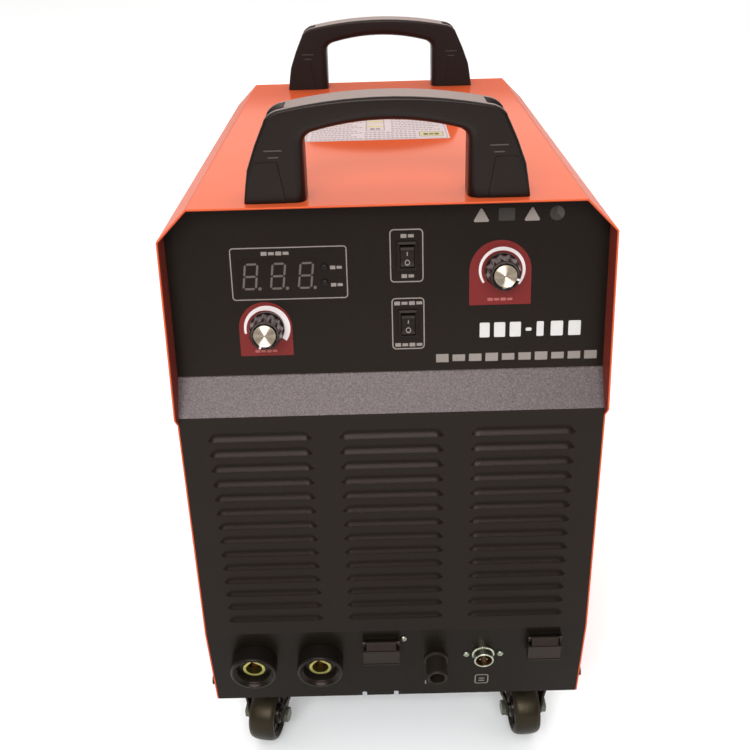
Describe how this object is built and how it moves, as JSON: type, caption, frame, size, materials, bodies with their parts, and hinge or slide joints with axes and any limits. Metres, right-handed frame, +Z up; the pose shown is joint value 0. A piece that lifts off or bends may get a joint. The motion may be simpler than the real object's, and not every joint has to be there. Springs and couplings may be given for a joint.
{
  "type": "plasma cutter",
  "caption": "Upright plasma cutting power source with built-in air compressor, recessed control panel, louvred front, arched carrying handles and casters.",
  "frame": {"origin": "on the floor, under the middle of the whole unit", "axes": "+X to the right seen from the front, +Y from the control panel to the back, +Z up"},
  "size_m": [0.326, 0.5298, 0.589],
  "materials": {
    "cover_paint": "gloss orange-red powder coat",
    "panel_paint": "fine matt black powder coat",
    "zinc_sheet": "zinc plated sheet",
    "handle_plastic": "moulded black nylon, fine grain",
    "black_steel": "black oxide",
    "zinc_steel": "zinc plated",
    "display_plastic": "smoked polished",
    "knob_plastic": "glossy black phenolic",
    "turned_aluminium": "faced, circular brushing",
    "switch_plastic": "moulded black",
    "socket_plastic": "moulded black",
    "brass": "turned",
    "nickel": "nickel plated",
    "wheel_rubber": "moulded black rubber",
    "board": "populated printed circuit board",
    "cast_aluminium": "cast",
    "core_steel": "ferrite",
    "copper_wire": "enamelled copper",
    "hose": "polyurethane hose"
  },
  "bodies": {
    "cabinet": {"base_tray": "panel_paint", "top_cover": "cover_paint", "front_panel": "panel_paint", "control_panel": "panel_paint", "rear_panel": "panel_paint", "mid_shelf": "zinc_sheet", "front_handle": "handle_plastic", "rear_handle": "handle_plastic", "handle_screws": "zinc_steel", "cover_screws": "black_steel", "display_module": "display_plastic", "potentiometers": "zinc_steel", "mode_switch_frame": "switch_plastic", "air_switch_frame": "switch_plastic", "control_board": "board", "output_socket_collars": "socket_plastic", "output_socket_inserts": "brass", "torch_outlet_collar": "socket_plastic", "torch_outlet_nipple": "brass", "torch_switch_socket": "nickel", "connector_screws": "zinc_steel", "pilot_cover_base": "socket_plastic", "remote_cover_base": "socket_plastic", "caster_plates": "zinc_steel", "caster_bolts": "zinc_steel", "rear_caster_brackets": "black_steel", "rear_axles": "zinc_steel", "fan_frame": "cast_aluminium", "fan_guard": "nickel", "heatsink": "cast_aluminium", "power_board": "board", "transformer_core": "core_steel", "transformer_winding": "copper_wire", "air_hoses": "hose", "compressor_pump": "cast_aluminium", "filter_regulator": "cast_aluminium", "solenoid_valve": "brass", "breaker": "switch_plastic", "cable_gland": "socket_plastic", "air_inlet": "brass"},
    "gas_knob": {"gas_delay_knob": "knob_plastic", "gas_delay_knob_spindle": "turned_aluminium"},
    "current_knob": {"current_knob": "knob_plastic", "current_knob_spindle": "turned_aluminium"},
    "mode_rocker": {"mode_switch_rocker": "switch_plastic"},
    "air_rocker": {"air_switch_rocker": "switch_plastic"},
    "pilot_flap": {"pilot_cover_flap": "socket_plastic"},
    "remote_flap": {"remote_cover_flap": "socket_plastic"},
    "left_fork": {"left_front_fork": "black_steel", "left_front_axle": "zinc_steel"},
    "right_fork": {"right_front_fork": "black_steel", "right_front_axle": "zinc_steel"},
    "left_front_wheel": {"left_front_wheel": "wheel_rubber"},
    "right_front_wheel": {"right_front_wheel": "wheel_rubber"},
    "left_rear_wheel": {"left_rear_wheel": "wheel_rubber"},
    "right_rear_wheel": {"right_rear_wheel": "wheel_rubber"},
    "fan": {"fan_impeller": "switch_plastic"},
    "pump_fan": {"compressor_fan": "switch_plastic"},
    "regulator": {"regulator_knob": "knob_plastic"},
    "breaker_lever": {"breaker_toggle": "switch_plastic"}
  },
  "joints": [
    {"name": "gas_knob_turn", "type": "hinge", "parent": "cabinet", "child": "gas_knob", "pos_m": [-0.0893, -0.23025, 0.42428], "axis": [0, 0.994, -0.1095], "range_deg": [0, 300]},
    {"name": "current_knob_turn", "type": "hinge", "parent": "cabinet", "child": "current_knob", "pos_m": [0.0823, -0.22595, 0.46324], "axis": [0, 0.994, -0.1095], "range_deg": [-258, 42]},
    {"name": "mode_rocker_tip", "type": "hinge", "parent": "cabinet", "child": "mode_rocker", "pos_m": [0.0142, -0.22366, 0.47496], "axis": [1, 0, 0], "range_deg": [-20, 0]},
    {"name": "air_rocker_tip", "type": "hinge", "parent": "cabinet", "child": "air_rocker", "pos_m": [0.0142, -0.2292, 0.42467], "axis": [1, 0, 0], "range_deg": [-20, 0]},
    {"name": "pilot_flap_lift", "type": "hinge", "parent": "cabinet", "child": "pilot_flap", "pos_m": [-0.0125, -0.25232, 0.14312], "axis": [-1, 0, 0], "range_deg": [0, 85]},
    {"name": "remote_flap_lift", "type": "hinge", "parent": "cabinet", "child": "remote_flap", "pos_m": [0.1248, -0.25256, 0.1445], "axis": [-1, 0, 0], "range_deg": [0, 85]},
    {"name": "left_caster_swivel", "type": "hinge", "parent": "cabinet", "child": "left_fork", "pos_m": [-0.1156, -0.1875, 0.068], "axis": [0, 0, 1], "continuous": true},
    {"name": "right_caster_swivel", "type": "hinge", "parent": "cabinet", "child": "right_fork", "pos_m": [0.1156, -0.1875, 0.068], "axis": [0, 0, 1], "continuous": true},
    {"name": "left_front_roll", "type": "hinge", "parent": "left_fork", "child": "left_front_wheel", "pos_m": [-0.12017, -0.20902, 0.025], "axis": [0.9781, -0.2079, 0], "continuous": true},
    {"name": "right_front_roll", "type": "hinge", "parent": "right_fork", "child": "right_front_wheel", "pos_m": [0.11733, -0.20943, 0.025], "axis": [0.9969, 0.0785, 0], "continuous": true},
    {"name": "left_rear_roll", "type": "hinge", "parent": "cabinet", "child": "left_rear_wheel", "pos_m": [-0.1156, 0.178, 0.025], "axis": [1, 0, 0], "continuous": true},
    {"name": "right_rear_roll", "type": "hinge", "parent": "cabinet", "child": "right_rear_wheel", "pos_m": [0.1156, 0.178, 0.025], "axis": [1, 0, 0], "continuous": true},
    {"name": "fan_spin", "type": "hinge", "parent": "cabinet", "child": "fan", "pos_m": [0, 0.2195, 0.388], "axis": [0, 1, 0], "continuous": true},
    {"name": "pump_fan_spin", "type": "hinge", "parent": "cabinet", "child": "pump_fan", "pos_m": [-0.03, -0.146, 0.16], "axis": [0, 1, 0], "continuous": true},
    {"name": "regulator_turn", "type": "hinge", "parent": "cabinet", "child": "regulator", "pos_m": [0.095, 0.08, 0.196], "axis": [0, 0, 1], "range_deg": [0, 720]},
    {"name": "breaker_throw", "type": "hinge", "parent": "cabinet", "child": "breaker_lever", "pos_m": [0.1, 0.232, 0.188], "axis": [1, 0, 0], "range_deg": [-60, 0]}
  ]
}
